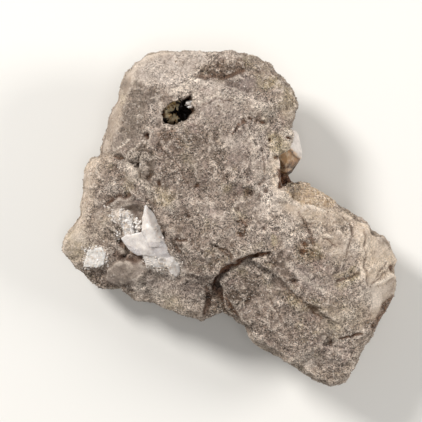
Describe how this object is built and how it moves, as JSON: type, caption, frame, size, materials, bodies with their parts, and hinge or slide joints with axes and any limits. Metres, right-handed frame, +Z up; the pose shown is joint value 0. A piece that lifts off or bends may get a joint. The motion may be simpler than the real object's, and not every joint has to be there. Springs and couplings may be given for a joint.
{
  "type": "mineral specimen",
  "caption": "Herkimer diamond on matrix: a rough block of grey dolostone with a short doubly terminated quartz crystal set in its edge, white quartz blades and a dark crystal-lined vug.",
  "frame": {"origin": "middle of the outline's box on the ground it lies on", "axes": "+Z up through the thickness, away from the back that it lies on; +Y towards the rounded end with the vug; +X towards the side with the Herkimer diamond"},
  "size_m": [0.1009, 0.1014, 0.0352],
  "materials": {
    "dolostone": "broken, sugary grain, matt",
    "clear_quartz": "natural faces, part frosted, amber at its free point",
    "milky_quartz": "cleaved, milky, slightly glossy",
    "stained_druse": "small brown-stained crystals"
  },
  "bodies": {
    "root": {"matrix": "dolostone", "herkimer_diamond": "clear_quartz", "quartz_blades": "milky_quartz", "corner_quartz": "milky_quartz", "vug_druse": "stained_druse"}
  },
  "joints": []
}
